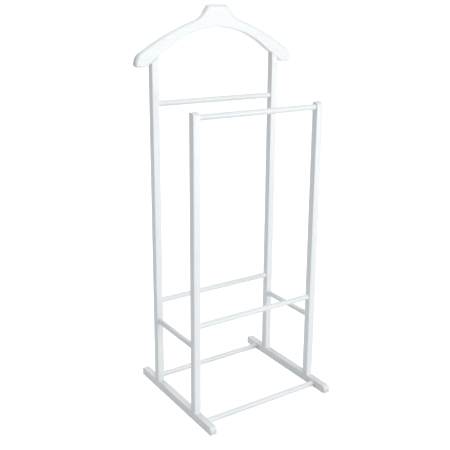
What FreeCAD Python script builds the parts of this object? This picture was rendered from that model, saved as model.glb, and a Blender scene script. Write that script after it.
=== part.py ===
"""Valet stand in lacquered wood: runners, posts, rungs, shoulder hanger, fasteners and felt pads.

Frame: millimetres, +Z up, the floor at Z = 0, the origin under the middle of the stand. X runs across
the stand and Y from the front posts (-Y) to the rear posts (+Y). The left side is -X.
"""

import FreeCAD
import Part
import Sketcher
import math
import os

V = FreeCAD.Vector
DOC = FreeCAD.newDocument("ValetStand")

SIZES = {
    # the whole stand
    "stand_height": 1055.5,  # floor to the flat top of the hanger's neck
    "frame_width": 376.0,  # post axis to post axis, across
    "frame_depth": 200.0,  # post axis to post axis, front to rear
    # posts
    "post_side": 20.0,
    "post_ease": 2.0,  # rounding of the long edges
    "front_post_top": 811.5,  # floor to the top of the front posts
    "front_post_nose": 10.0,  # rounding of their front top edge
    # runners
    "runner_reach": 87.5,  # from a post's axis to the runner's end
    "runner_thick": 22.0,
    "runner_nose": 11.0,  # rounding of the front top edge
    "runner_heel": 3.0,  # rounding of the rear top edge
    "runner_ease": 2.0,
    "pad_thick": 1.5,
    "pad_wide": 16.0,
    "pad_inset": 14.0,  # runner end to pad axis
    # rungs: turned bars with a thinner tenon at each end
    "rung_wide": 15.0,
    "tenon_wide": 10.0,
    "tenon_long": 13.0,
    "tenon_lead": 1.0,  # chamfer on the tenon's end
    "bore_play": 0.1,  # radial play round a tenon or a dowel, for the glue
    "bore_spare": 1.0,  # room left behind a tenon or a dowel
    "upper_rung_down": 247.0,  # below the top of the neck
    "trouser_bar_down": 13.0,  # below the top of the front posts
    "middle_rung_up": 264.5,
    "side_rung_up": 206.0,
    "bottom_rung_up": 12.5,
    "bottom_rung_reach": 38.0,  # from a post's axis outwards to a bottom rung
    # shoulder hanger
    "hanger_thick": 20.0,
    "hanger_proud": 0.0,  # how far its front stands before the rear posts
    "hanger_overhang": 45.0,  # from a post's outer face to the tip
    "hanger_edge": 6.0,  # rounding round the outside
    "hanger_arch_edge": 2.0,  # rounding along the arch
    "hanger_waist": 58.0,  # neck top down to the crown of the arch
    "neck_flat": 25.4,  # half the flat on top of the neck
    "neck_corner": 9.0,
    "flank_angle": 54.4,
    "neck_hollow": 64.0,
    "shoulder_drop": 39.0,  # neck top down to where the shoulder starts
    "shoulder_angle": 20.0,  # of the short straight from there
    "shoulder_flat": 20.0,  # its length
    "shoulder_round": 640.0,  # the long curve from its end to the tip
    "tip_round": 38.0,
    "tip_corner": 7.0,
    "arch_round": 244.0,
    "arch_angle": 35.0,  # slope of the straight ends of the arch
    # lap joint of a rear post in the hanger
    "tongue_thick": 10.0,
    "tongue_cover": 12.0,  # wood left above the tongue, below the shoulder line
    "lap_play": 0.1,
    "cut_over": 1.0,  # how far a cut runs on past the wood it opens
    # fasteners
    "screw_wide": 4.0,
    "screw_hole": 4.4,  # clearance hole
    "pilot_play": 0.05,  # radial play round a screw's shank in its pilot hole
    "screw_head": 8.0,
    "screw_head_deep": 2.6,
    "runner_screw_long": 42.0,
    "runner_screw_sunk": 3.0,  # how far its head sits inside the runner
    "runner_sink_wide": 9.0,
    "hanger_screw_long": 16.0,
    "dowel_wide": 6.0,
    "dowel_long": 30.0,
    "fix_offset": 4.5,  # dowel and screw, either side of the post's axis
}

sheet = DOC.addObject("Spreadsheet::Sheet", "Sizes")
for row, (alias, value) in enumerate(SIZES.items(), 1):
    sheet.set(f"A{row}", alias)
    sheet.set(f"B{row}", str(value))
    sheet.setAlias(f"B{row}", alias)
DOC.recompute()

# Formulas on the sheet's cells that more than one piece needs. Heights are above the floor.
RUNNER_TOP = "(Sizes.pad_thick + Sizes.runner_thick)"
HALF_POST = "(Sizes.post_side / 2)"
POST_OUTER = f"(Sizes.frame_width / 2 + {HALF_POST})"
HALF_HANGER = f"({POST_OUTER} + Sizes.hanger_overhang)"
RUNNER_LENGTH = "(Sizes.frame_depth + 2 * Sizes.runner_reach)"
UPPER_RUNG_UP = "(Sizes.stand_height - Sizes.upper_rung_down)"
TROUSER_BAR_UP = "(Sizes.front_post_top - Sizes.trouser_bar_down)"
BOTTOM_RUNG_OUT = "(Sizes.frame_depth / 2 + Sizes.bottom_rung_reach)"
FLANK = "Sizes.flank_angle * 1 deg"
SLOPE = "Sizes.shoulder_angle * 1 deg"
ARCH = "Sizes.arch_angle * 1 deg"
# Along the flank of the neck, between its rounded top corner and the hollow at its foot.
FLANK_RUN = (
    f"((Sizes.shoulder_drop - Sizes.neck_corner * (1 - cos({FLANK}))"
    f" - Sizes.neck_hollow * (cos({SLOPE}) - cos({FLANK}))) / sin({FLANK}))"
)
SHOULDER_START = (
    f"(Sizes.neck_flat + Sizes.neck_corner * sin({FLANK}) + {FLANK_RUN} * cos({FLANK})"
    f" + Sizes.neck_hollow * (sin({FLANK}) - sin({SLOPE})))"
)
# The centre of the shoulder's long curve.
SHOULDER_IN = (
    f"({SHOULDER_START} + Sizes.shoulder_flat * cos({SLOPE}) - Sizes.shoulder_round * sin({SLOPE}))"
)
SHOULDER_DOWN = (
    f"(Sizes.shoulder_drop + Sizes.shoulder_flat * sin({SLOPE}) + Sizes.shoulder_round * cos({SLOPE}))"
)
# The tongue of a rear post ends under that curve, measured over the post's outer face.
TONGUE_TOP = (
    f"(Sizes.stand_height - {SHOULDER_DOWN}"
    f" + sqrt(Sizes.shoulder_round ^ 2 - ({POST_OUTER} - {SHOULDER_IN}) ^ 2) - Sizes.tongue_cover)"
)
HANGER_FRONT = f"(Sizes.frame_depth / 2 - {HALF_POST} - Sizes.hanger_proud)"
LAP_PLANE = f"(Sizes.frame_depth / 2 + {HALF_POST} - Sizes.tongue_thick)"
TENON_BORE = "(Sizes.tenon_wide / 2 + Sizes.bore_play)"
TENON_DEEP = "(Sizes.tenon_long + Sizes.bore_spare)"
HANGER_MIDDLE = f"({HANGER_FRONT} + Sizes.hanger_thick / 2)"
SCREW_PILOT = "(Sizes.screw_wide / 2 + Sizes.pilot_play)"
DOWEL_BORE = "(Sizes.dowel_wide / 2 + Sizes.bore_play)"
DOWEL_DEEP = "(Sizes.dowel_long / 2 + Sizes.bore_spare)"
HEAD_SEAT = "(Sizes.runner_screw_sunk + Sizes.screw_head_deep)"
RUNNER_HEAD_FACE = "(Sizes.pad_thick + Sizes.runner_screw_sunk)"
RUNNER_SCREW_UP = f"({RUNNER_HEAD_FACE} + Sizes.runner_screw_long - {RUNNER_TOP})"
HANGER_BITE = "(Sizes.hanger_screw_long - Sizes.tongue_thick + Sizes.bore_spare)"
SIDES = {-1: "left", 1: "right"}
ENDS = {-1: "front", 1: "rear"}

SAME_PLACE = 1e-6  # places closer than this are one
ON_CURVE = 1e-4  # a point closer than this to a curve lies on it


def underside(across):
    """Height of the straight end of the hanger's arch at a distance from the stand's middle."""
    return (
        f"(Sizes.stand_height - Sizes.hanger_waist - Sizes.arch_round"
        f" + Sizes.arch_round / cos({ARCH}) - ({across}) * tan({ARCH}))"
    )


# Heights of the two screws of each lap, at a quarter and three quarters of the tongue on the post's axis.
LAP_FOOT = underside("Sizes.frame_width / 2")
HANGER_SCREWS = [f"({LAP_FOOT} + {share} * ({TONGUE_TOP} - {LAP_FOOT}))" for share in (0.25, 0.75)]


def bind(item, **formulas):
    """Drive properties of an object by formulas; x, y and z drive its place."""
    for name, formula in formulas.items():
        item.setExpression(f"Placement.Base.{name}" if name in "xyz" else name, str(formula))


def turned(direction):
    """The rotation that turns +Z to a direction."""
    return FreeCAD.Rotation(V(0, 0, 1), V(*direction))


def new_body(label):
    """Start a piece of its own, labelled with its name."""
    body = DOC.addObject("PartDesign::Body", label)
    body.Label = label
    return body


def origin_plane(body, role):
    """One of the body's own origin planes, such as XZ_Plane."""
    return next(item for item in body.Origin.OriginFeatures if item.Role == role)


def block(body, length, width, height):
    """Start a body with a block centred on its Z axis, its foot at Z = 0."""
    box = body.newObject("PartDesign::AdditiveBox", "Blank")
    bind(box, Length=length, Width=width, Height=height, x=f"-{length} / 2", y=f"-{width} / 2")
    return box


def bore(body, radius, depth, mouth, direction):
    """Drill a blind round hole from its mouth along a direction."""
    hole = body.newObject("PartDesign::SubtractiveCylinder", "Bore")
    hole.Placement = FreeCAD.Placement(V(0, 0, 0), turned(direction))
    bind(hole, Radius=radius, Height=depth, x=mouth[0], y=mouth[1], z=mouth[2])
    return hole


def edge_names(item, test):
    """Names of the edges of an object's shape that pass a test."""
    DOC.recompute()
    return [f"Edge{number}" for number, edge in enumerate(item.Shape.Edges, 1) if test(edge)]


def round_edges(body, radius, test):
    """Fillet the edges of the body's last feature that pass a test."""
    tip = body.Tip
    names = edge_names(tip, test)
    if not names:
        raise ValueError(f"no edges to round on {body.Label}")
    fillet = body.newObject("PartDesign::Fillet", "Round")
    fillet.Base = (tip, names)
    bind(fillet, Radius=radius)
    return fillet


def runs_along(edge, axis):
    """True if an edge is straight and parallel to an axis."""
    ends = edge.Vertexes
    if edge.Curve.TypeId != "Part::GeomLine" or len(ends) != 2:
        return False
    return (ends[1].Point - ends[0].Point).cross(V(*axis)).Length < SAME_PLACE


def at_limit(edge, axis, sign, shape):
    """True if an edge lies in the extreme plane of a shape on one side of an axis (0, 1 or 2)."""
    box = shape.BoundBox
    limit = ((box.XMin, box.YMin, box.ZMin), (box.XMax, box.YMax, box.ZMax))[sign > 0][axis]
    return all(abs(vertex.Point[axis] - limit) < SAME_PLACE for vertex in edge.Vertexes)


def polygon(body, plane, corners, offset):
    """A closed sketch of straight lines; corners are pairs of formulas, offset moves it off its plane."""
    sketch = body.newObject("Sketcher::SketchObject", "Outline")
    sketch.AttachmentSupport = [(origin_plane(body, plane), "")]
    sketch.MapMode = "FlatFace"
    sketch.setExpression("AttachmentOffset.Base.z", offset)
    count = len(corners)
    rough = [V(*point, 0) for point in ((-1, -1), (1, -1), (1, 1), (-1, 1))]
    for number in range(count):
        sketch.addGeometry(Part.LineSegment(rough[number], rough[(number + 1) % count]), False)
    for number in range(count):
        sketch.addConstraint(Sketcher.Constraint("Coincident", number, 2, (number + 1) % count, 1))
    for number, corner in enumerate(corners):
        for kind, formula in zip(("DistanceX", "DistanceY"), corner):
            index = sketch.addConstraint(Sketcher.Constraint(kind, -1, 1, number, 1, 1.0))
            sketch.setExpression(f"Constraints[{index}]", formula)
    return sketch


def build_runner(name, side):
    """A base runner with sockets for the bottom rungs and holes for its fasteners."""
    body = new_body(name)
    block(body, "Sizes.post_side", RUNNER_LENGTH, "Sizes.runner_thick")
    for ease, sign in (("Sizes.runner_nose", -1), ("Sizes.runner_heel", 1)):
        round_edges(
            body,
            ease,
            lambda edge: runs_along(edge, (1, 0, 0))
            and at_limit(edge, 1, sign, body.Tip.Shape)
            and at_limit(edge, 2, 1, body.Tip.Shape),
        )
    round_edges(body, "Sizes.runner_ease", lambda edge: runs_along(edge, (0, 1, 0)))
    for sign in (-1, 1):
        socket_up = "Sizes.bottom_rung_up - Sizes.pad_thick"
        mouth = (f"{-side} * {HALF_POST}", f"{sign} * {BOTTOM_RUNG_OUT}", socket_up)
        bore(body, TENON_BORE, TENON_DEEP, mouth, (side, 0, 0))
        screw_at = f"{sign} * (Sizes.frame_depth / 2 + Sizes.fix_offset)"
        dowel_at = f"{sign} * (Sizes.frame_depth / 2 - Sizes.fix_offset)"
        bore(body, "Sizes.screw_hole / 2", "Sizes.runner_thick", ("0", screw_at, "0"), (0, 0, 1))
        bore(body, "Sizes.runner_sink_wide / 2", HEAD_SEAT, ("0", screw_at, "0"), (0, 0, 1))
        bore(body, DOWEL_BORE, DOWEL_DEEP, ("0", dowel_at, "Sizes.runner_thick"), (0, 0, -1))
    bind(body, x=f"{side} * Sizes.frame_width / 2", z="Sizes.pad_thick")
    return body


def build_post(name, side, end):
    """A post: rear ones (end 1) carry a lapped tongue for the hanger, front ones a rounded top."""
    body = new_body(name)
    top = TONGUE_TOP if end > 0 else "Sizes.front_post_top"
    block(body, "Sizes.post_side", "Sizes.post_side", f"({top} - {RUNNER_TOP})")
    if end < 0:
        round_edges(
            body,
            "Sizes.front_post_nose",
            lambda edge: runs_along(edge, (1, 0, 0))
            and at_limit(edge, 1, -1, body.Tip.Shape)
            and at_limit(edge, 2, 1, body.Tip.Shape),
        )
    round_edges(body, "Sizes.post_ease", lambda edge: runs_along(edge, (0, 0, 1)))
    inner = f"{-side} * {HALF_POST}"
    upper = UPPER_RUNG_UP if end > 0 else TROUSER_BAR_UP
    for height in (upper, "Sizes.middle_rung_up"):
        bore(body, TENON_BORE, TENON_DEEP, (inner, "0", f"{height} - {RUNNER_TOP}"), (side, 0, 0))
    side_mouth = ("0", f"{-end} * {HALF_POST}", f"Sizes.side_rung_up - {RUNNER_TOP}")
    bore(body, TENON_BORE, TENON_DEEP, side_mouth, (0, end, 0))
    screw_at, dowel_at = (f"{sign * end} * Sizes.fix_offset" for sign in (1, -1))
    bore(body, SCREW_PILOT, f"({RUNNER_SCREW_UP} + Sizes.bore_spare)", ("0", screw_at, "0"), (0, 0, 1))
    bore(body, DOWEL_BORE, DOWEL_DEEP, ("0", dowel_at, "0"), (0, 0, 1))
    if end > 0:
        cut_lap(body, side)
    bind(body, x=f"{side} * Sizes.frame_width / 2", y=f"{end} * Sizes.frame_depth / 2", z=RUNNER_TOP)
    return body


def cut_lap(body, side):
    """Halve the top of a rear post from the front, down to a shoulder that follows the arch."""
    reach = f"({HALF_POST} + Sizes.cut_over)"
    foot = {sign: f"{underside(f'Sizes.frame_width / 2 + {side * sign} * {reach}')}" for sign in (-1, 1)}
    corners = [
        (f"-{reach}", f"{foot[-1]} - {RUNNER_TOP} - Sizes.lap_play"),
        (reach, f"{foot[1]} - {RUNNER_TOP} - Sizes.lap_play"),
        (reach, f"{TONGUE_TOP} - {RUNNER_TOP} + Sizes.cut_over"),
        (f"-{reach}", f"{TONGUE_TOP} - {RUNNER_TOP} + Sizes.cut_over"),
    ]
    lap = body.newObject("PartDesign::Pocket", "Lap")
    lap.Profile = polygon(body, "XZ_Plane", corners, f"Sizes.tongue_thick - {HALF_POST}")
    bind(lap, Length="Sizes.post_side")
    lap.Reversed = True
    body.Tip = lap
    for height in HANGER_SCREWS:
        mouth = ("0", HALF_POST, f"{height} - {RUNNER_TOP}")
        bore(body, "Sizes.screw_hole / 2", "Sizes.tongue_thick + Sizes.cut_over", mouth, (0, -1, 0))
        seat = body.newObject("PartDesign::SubtractiveCone", "Seat")
        seat.Placement = FreeCAD.Placement(V(0, 0, 0), turned((0, -1, 0)))
        bind(
            seat,
            Radius1="Sizes.screw_head / 2 + Sizes.bore_play",
            Radius2="Sizes.screw_hole / 2",
            Height="Sizes.screw_head_deep",
            x=mouth[0],
            y=mouth[1],
            z=mouth[2],
        )


def hanger_outline(body):
    """The right half of the hanger, drawn from the neck's top round the tip to the crown of the arch."""
    size = SIZES
    angles = ("flank_angle", "shoulder_angle", "arch_angle")
    flank, slope, arch = (math.radians(size[key]) for key in angles)
    half = (size["frame_width"] + size["post_side"]) / 2 + size["hanger_overhang"]
    top = size["stand_height"]

    def arc(centre, radius, start, end):
        circle = Part.Circle(V(*centre, 0), V(0, 0, 1), radius)
        return Part.ArcOfCircle(circle, start, end)

    def step(point, distance, angle):
        return (point[0] + distance * math.cos(angle), point[1] + distance * math.sin(angle))

    right, up = 0.0, math.pi / 2
    neck_end = (size["neck_flat"], top)
    corner = step(neck_end, size["neck_corner"], -up)
    flank_start = step(corner, size["neck_corner"], up - flank)
    fall = top - flank_start[1]
    run = size["shoulder_drop"] - fall - size["neck_hollow"] * (math.cos(slope) - math.cos(flank))
    flank_end = step(flank_start, run / math.sin(flank), -flank)
    hollow = step(flank_end, size["neck_hollow"], up - flank)
    shoulder = step(hollow, size["neck_hollow"], -up - slope)
    shoulder_end = step(shoulder, size["shoulder_flat"], -slope)
    brow = step(shoulder_end, size["shoulder_round"], -up - slope)
    tip_in, reach = half - size["tip_round"], size["shoulder_round"] - size["tip_round"]
    tip = (tip_in, brow[1] + math.sqrt(reach**2 - (tip_in - brow[0]) ** 2))
    bend = math.atan2(tip[1] - brow[1], tip[0] - brow[0])
    tip_corner = (half - size["tip_corner"], tip[1])
    foot = (tip_corner[0], tip[1] - size["tip_corner"])
    crown = (0.0, top - size["hanger_waist"])
    middle = (0.0, crown[1] - size["arch_round"])
    arch_end = step(middle, size["arch_round"], up - arch)
    heel = (arch_end[0] + (arch_end[1] - foot[1]) / math.tan(arch), foot[1])
    line = Part.LineSegment
    shapes = [
        line(V(0, top, 0), V(*neck_end, 0)),
        arc(corner, size["neck_corner"], up - flank, up),
        line(V(*flank_start, 0), V(*flank_end, 0)),
        arc(hollow, size["neck_hollow"], 3 * up - flank, 3 * up - slope),
        line(V(*shoulder, 0), V(*shoulder_end, 0)),
        arc(brow, size["shoulder_round"], bend, up - slope),
        arc(tip, size["tip_round"], right, bend),
        arc(tip_corner, size["tip_corner"], -up, right),
        line(V(*foot, 0), V(*heel, 0)),
        line(V(*heel, 0), V(*arch_end, 0)),
        arc(middle, size["arch_round"], up - arch, up),
        line(V(*crown, 0), V(0, top, 0)),
    ]
    sketch = body.newObject("Sketcher::SketchObject", "HalfHanger")
    sketch.AttachmentSupport = [(origin_plane(body, "XZ_Plane"), "")]
    sketch.MapMode = "FlatFace"
    for shape in shapes:
        sketch.addGeometry(shape, False)
    tie = Sketcher.Constraint
    (neck, neck_arc, flank_line, hollow_arc, shoulder_line, brow_arc, tip_arc, corner_arc) = range(8)
    (foot_line, under_line, arch_arc, middle_line) = range(8, 12)
    start, end, centre = 1, 2, 3
    origin, up_axis = (-1, start), -2
    for pair in (
        (neck, end, neck_arc, end),
        (neck_arc, start, flank_line, start),
        (flank_line, end, hollow_arc, start),
        (hollow_arc, end, shoulder_line, start),
        (shoulder_line, end, brow_arc, end),
        (brow_arc, start, tip_arc, end),
        (tip_arc, start, corner_arc, end),
        (corner_arc, start, foot_line, start),
        (under_line, end, arch_arc, start),
    ):
        sketch.addConstraint(tie("Tangent", *pair))
    sketch.addConstraint(tie("Coincident", foot_line, end, under_line, start))
    sketch.addConstraint(tie("Coincident", arch_arc, end, middle_line, start))
    sketch.addConstraint(tie("Coincident", middle_line, end, neck, start))
    sketch.addConstraint(tie("Horizontal", neck))
    sketch.addConstraint(tie("Horizontal", foot_line))
    sketch.addConstraint(tie("Horizontal", tip_arc, centre, tip_arc, start))
    sketch.addConstraint(tie("PointOnObject", neck, start, up_axis))
    sketch.addConstraint(tie("PointOnObject", arch_arc, end, up_axis))
    sketch.addConstraint(tie("PointOnObject", arch_arc, centre, up_axis))
    for kind, where, value, formula in (
        ("DistanceY", (*origin, neck, start), top, "Sizes.stand_height"),
        ("DistanceX", (neck, start, neck, end), size["neck_flat"], "Sizes.neck_flat"),
        ("Radius", (neck_arc,), size["neck_corner"], "Sizes.neck_corner"),
        ("Radius", (hollow_arc,), size["neck_hollow"], "Sizes.neck_hollow"),
        ("Radius", (brow_arc,), size["shoulder_round"], "Sizes.shoulder_round"),
        ("Radius", (tip_arc,), size["tip_round"], "Sizes.tip_round"),
        ("Radius", (corner_arc,), size["tip_corner"], "Sizes.tip_corner"),
        ("Radius", (arch_arc,), size["arch_round"], "Sizes.arch_round"),
        ("Distance", (shoulder_line,), size["shoulder_flat"], "Sizes.shoulder_flat"),
        ("Angle", (flank_line,), -flank, f"-1 * {FLANK}"),
        ("Angle", (shoulder_line,), -slope, f"-1 * {SLOPE}"),
        ("Angle", (under_line,), 2 * up - arch, f"180 deg - {ARCH}"),
        ("DistanceY", (shoulder_line, start, neck, start), size["shoulder_drop"], "Sizes.shoulder_drop"),
        ("DistanceX", (*origin, tip_arc, start), half, HALF_HANGER),
        ("DistanceY", (arch_arc, end, neck, start), size["hanger_waist"], "Sizes.hanger_waist"),
    ):
        index = sketch.addConstraint(tie(kind, *where, value))
        sketch.setExpression(f"Constraints[{index}]", formula)
    DOC.recompute()
    if not sketch.FullyConstrained:
        raise ValueError("the hanger's outline is not fully constrained")
    return sketch


def build_hanger():
    """The shoulder hanger: one board, mirrored about its middle, with a housing for each post's tongue."""
    body = new_body("shoulder_hanger")
    outline = hanger_outline(body)
    board = body.newObject("PartDesign::Pad", "Board")
    board.Profile = outline
    board.SideType = "Symmetric"
    bind(board, Length="Sizes.hanger_thick")
    mirror = body.newObject("PartDesign::Mirrored", "OtherHalf")
    mirror.Originals = [board]
    mirror.MirrorPlane = (origin_plane(body, "YZ_Plane"), [""])
    mirror.Refine = True
    body.Tip = mirror
    DOC.recompute()
    crown = SIZES["stand_height"] - SIZES["hanger_waist"]
    middle_up = crown - SIZES["arch_round"]
    arch = math.radians(SIZES["arch_angle"])

    def on_a_face(edge):
        return at_limit(edge, 1, 1, mirror.Shape) or at_limit(edge, 1, -1, mirror.Shape)

    def on_the_arch(edge):
        point = edge.valueAt((edge.FirstParameter + edge.LastParameter) / 2)
        across, up = abs(point.x), point.z - middle_up
        off_arc = math.hypot(across, up) - SIZES["arch_round"]
        off_line = across * math.sin(arch) + up * math.cos(arch) - SIZES["arch_round"]
        return min(abs(off_arc), abs(off_line)) < ON_CURVE

    round_edges(body, "Sizes.hanger_edge", lambda edge: on_a_face(edge) and not on_the_arch(edge))
    round_edges(body, "Sizes.hanger_arch_edge", lambda edge: on_a_face(edge) and on_the_arch(edge))
    for side in (-1, 1):
        housing = body.newObject("PartDesign::SubtractiveBox", "Housing")
        bind(
            housing,
            Length="Sizes.post_side + 2 * Sizes.lap_play",
            Width="Sizes.hanger_thick",
            Height=f"{TONGUE_TOP} + Sizes.lap_play",
            x=f"{side} * Sizes.frame_width / 2 - {HALF_POST} - Sizes.lap_play",
            y=f"{LAP_PLANE} - Sizes.lap_play - {HANGER_MIDDLE}",
        )
        for height in HANGER_SCREWS:
            mouth = (f"{side} * Sizes.frame_width / 2", f"{LAP_PLANE} - {HANGER_MIDDLE}", height)
            bore(body, SCREW_PILOT, HANGER_BITE, mouth, (0, -1, 0))
    bind(body, y=HANGER_MIDDLE)
    return body


def build_rung(name, length, middle, direction):
    """A turned bar with a chamfered tenon at each end, centred on a point and laid along X or Y."""
    bar = DOC.addObject("Part::Cylinder", "Bar")
    core = DOC.addObject("Part::Cylinder", "Tenons")
    bind(bar, Radius="Sizes.rung_wide / 2", Height=length)
    bind(core, Radius="Sizes.tenon_wide / 2", Height=f"{length} + 2 * Sizes.tenon_long")
    bind(core, z="-Sizes.tenon_long")
    joined = DOC.addObject("Part::Fuse", "Turned")
    joined.Base, joined.Tool = bar, core
    joined.Refine = True
    DOC.recompute()
    box = joined.Shape.BoundBox
    ends = [
        number
        for number, edge in enumerate(joined.Shape.Edges, 1)
        if edge.BoundBox.ZLength < SAME_PLACE
        and min(abs(edge.BoundBox.ZMin - box.ZMin), abs(edge.BoundBox.ZMax - box.ZMax)) < SAME_PLACE
    ]
    rung = DOC.addObject("Part::Chamfer", name)
    rung.Base = joined
    lead = SIZES["tenon_lead"]
    rung.Edges = [(number, lead, lead) for number in ends]
    rung.Label = name
    rung.Placement = FreeCAD.Placement(V(0, 0, 0), turned(direction))
    start = [f"{place} - {abs(part)} * ({length}) / 2" for place, part in zip(middle, direction)]
    bind(rung, x=start[0], y=start[1], z=start[2])
    return rung


def pin(radius, length, at, direction):
    """A plain cylinder from a point along a direction."""
    shape = DOC.addObject("Part::Cylinder", "Shank")
    shape.Placement = FreeCAD.Placement(V(0, 0, 0), turned(direction))
    bind(shape, Radius=radius, Height=length, x=at[0], y=at[1], z=at[2])
    return shape


def group(name, pieces):
    """One node that holds several separate identical pieces."""
    compound = DOC.addObject("Part::Compound", name)
    compound.Links = pieces
    compound.Label = name
    return compound


def build_fasteners():
    """Runner screws with pan heads, dowels, countersunk hanger screws."""
    runner_screws, dowels, hanger_screws = [], [], []
    for side in (-1, 1):
        across = f"{side} * Sizes.frame_width / 2"
        for end in (-1, 1):
            at = (across, f"{end} * (Sizes.frame_depth / 2 + Sizes.fix_offset)", RUNNER_HEAD_FACE)
            screw = DOC.addObject("Part::Fuse", "RunnerScrew")
            screw.Base = pin("Sizes.screw_head / 2", "Sizes.screw_head_deep", at, (0, 0, 1))
            screw.Tool = pin("Sizes.screw_wide / 2", "Sizes.runner_screw_long", at, (0, 0, 1))
            runner_screws.append(screw)
            at = (
                across,
                f"{end} * (Sizes.frame_depth / 2 - Sizes.fix_offset)",
                f"{RUNNER_TOP} - Sizes.dowel_long / 2",
            )
            dowels.append(pin("Sizes.dowel_wide / 2", "Sizes.dowel_long", at, (0, 0, 1)))
        for height in HANGER_SCREWS:
            at = (across, f"Sizes.frame_depth / 2 + {HALF_POST}", height)
            head = DOC.addObject("Part::Cone", "Head")
            head.Placement = FreeCAD.Placement(V(0, 0, 0), turned((0, -1, 0)))
            bind(
                head,
                Radius1="Sizes.screw_head / 2",
                Radius2="Sizes.screw_wide / 2",
                Height="Sizes.screw_head_deep",
                x=at[0],
                y=at[1],
                z=at[2],
            )
            screw = DOC.addObject("Part::Fuse", "HangerScrew")
            screw.Base = head
            screw.Tool = pin("Sizes.screw_wide / 2", "Sizes.hanger_screw_long", at, (0, -1, 0))
            hanger_screws.append(screw)
    return [
        group("runner_screws", runner_screws),
        group("runner_dowels", dowels),
        group("hanger_screws", hanger_screws),
    ]


def build_pads():
    """A round felt pad under each end of each runner."""
    pads = []
    for end, end_name in ENDS.items():
        for side, side_name in SIDES.items():
            at = (
                f"{side} * Sizes.frame_width / 2",
                f"{end} * ({RUNNER_LENGTH} / 2 - Sizes.pad_inset)",
                "0",
            )
            pad = pin("Sizes.pad_wide / 2", "Sizes.pad_thick", at, (0, 0, 1))
            pad.Label = f"{end_name}_{side_name}_pad"
            pads.append(pad)
    return pads


def build_rungs():
    """The eight rungs: six between the frames' sides and two from front to rear."""
    across = "(Sizes.frame_width - Sizes.post_side)"
    through = "(Sizes.frame_depth - Sizes.post_side)"
    rear, front = "Sizes.frame_depth / 2", "-Sizes.frame_depth / 2"
    wide = {
        "upper_rear_rung": (rear, UPPER_RUNG_UP),
        "trouser_bar": (front, TROUSER_BAR_UP),
        "rear_middle_rung": (rear, "Sizes.middle_rung_up"),
        "front_middle_rung": (front, "Sizes.middle_rung_up"),
        "rear_bottom_rung": (BOTTOM_RUNG_OUT, "Sizes.bottom_rung_up"),
        "front_bottom_rung": (f"-{BOTTOM_RUNG_OUT}", "Sizes.bottom_rung_up"),
    }
    rungs = [build_rung(name, across, ("0", *place), (1, 0, 0)) for name, place in wide.items()]
    for side, side_name in SIDES.items():
        middle = (f"{side} * Sizes.frame_width / 2", "0", "Sizes.side_rung_up")
        rungs.append(build_rung(f"{side_name}_side_rung", through, middle, (0, 1, 0)))
    return rungs


def check_and_write(pieces):
    """Stop at a failed object or a bad shape, then write each piece to parts/."""
    DOC.recompute()
    failed = [item.Name for item in DOC.Objects if {"Invalid", "Error"} & set(item.State)]
    if failed:
        raise ValueError(f"failed objects: {failed}")
    os.makedirs("parts", exist_ok=True)
    for piece in pieces:
        shape = piece.Shape
        if shape.isNull() or not shape.isValid() or not shape.Solids:
            raise ValueError(f"bad shape: {piece.Label}")
    for piece in pieces:
        piece.Shape.exportStep(f"parts/{piece.Label}.step")
        box = piece.Shape.BoundBox
        print(
            f"{piece.Label:20s} {len(piece.Shape.Solids)} solid(s) {piece.Shape.Volume / 1000:8.2f} cm3"
            f"  x {box.XMin:7.1f} {box.XMax:7.1f}  y {box.YMin:7.1f} {box.YMax:7.1f}"
            f"  z {box.ZMin:7.1f} {box.ZMax:7.1f}"
        )


pieces = [build_runner(f"{name}_runner", side) for side, name in SIDES.items()]
for end, end_name in ENDS.items():
    for side, side_name in SIDES.items():
        pieces.append(build_post(f"{end_name}_{side_name}_post", side, end))
pieces.append(build_hanger())
pieces += build_rungs() + build_fasteners() + build_pads()
check_and_write(pieces)
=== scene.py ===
"""Looks of a valet stand: moulded and turned beech under white satin lacquer, zinc screws and felt pads.

Metres, +Z up, the floor at Z = 0, the origin under the middle of the stand. The left side is at -X and
the front at -Y. Every wooden piece stands in the place of its CAD node and takes its place from it.
"""

import logging
import math
from dataclasses import dataclass
from enum import Enum
from typing import Any

import bmesh
import bpy
import numpy as np
from mathutils import Matrix, Vector


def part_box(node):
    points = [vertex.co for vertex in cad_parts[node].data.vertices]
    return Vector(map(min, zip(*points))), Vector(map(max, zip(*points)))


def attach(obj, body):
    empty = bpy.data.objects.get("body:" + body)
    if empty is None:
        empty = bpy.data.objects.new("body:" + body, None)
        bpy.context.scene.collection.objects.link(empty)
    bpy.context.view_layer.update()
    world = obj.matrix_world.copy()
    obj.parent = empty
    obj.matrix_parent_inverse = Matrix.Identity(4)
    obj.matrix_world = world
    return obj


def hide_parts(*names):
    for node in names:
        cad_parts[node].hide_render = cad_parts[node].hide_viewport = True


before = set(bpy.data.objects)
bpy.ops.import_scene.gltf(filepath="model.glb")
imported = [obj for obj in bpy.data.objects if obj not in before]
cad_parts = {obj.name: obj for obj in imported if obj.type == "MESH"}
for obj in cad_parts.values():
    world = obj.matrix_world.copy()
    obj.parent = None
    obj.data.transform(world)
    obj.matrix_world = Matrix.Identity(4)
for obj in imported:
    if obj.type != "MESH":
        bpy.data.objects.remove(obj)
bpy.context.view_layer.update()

MM = 0.001
QUARTER = math.pi / 2
HAIR = 0.15 * MM  # from a rounding's end to the ring that keeps a flat's shading flat
WELD = 0.002 * MM  # points this close are one
SHARP = math.radians(32)  # a steeper bend between faces stays a crisp edge
LOG = logging.getLogger("valet_stand")


class Place(Enum):
    """Where a piece stands, as the sign of its coordinate."""

    @property
    def word(self) -> str:
        """The place's name in a node."""
        return self.name.lower()


class Side(Place):
    """The two sides of the stand along X."""

    LEFT = -1
    RIGHT = 1


class End(Place):
    """The two ends of the stand along Y."""

    FRONT = -1
    REAR = 1


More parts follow.
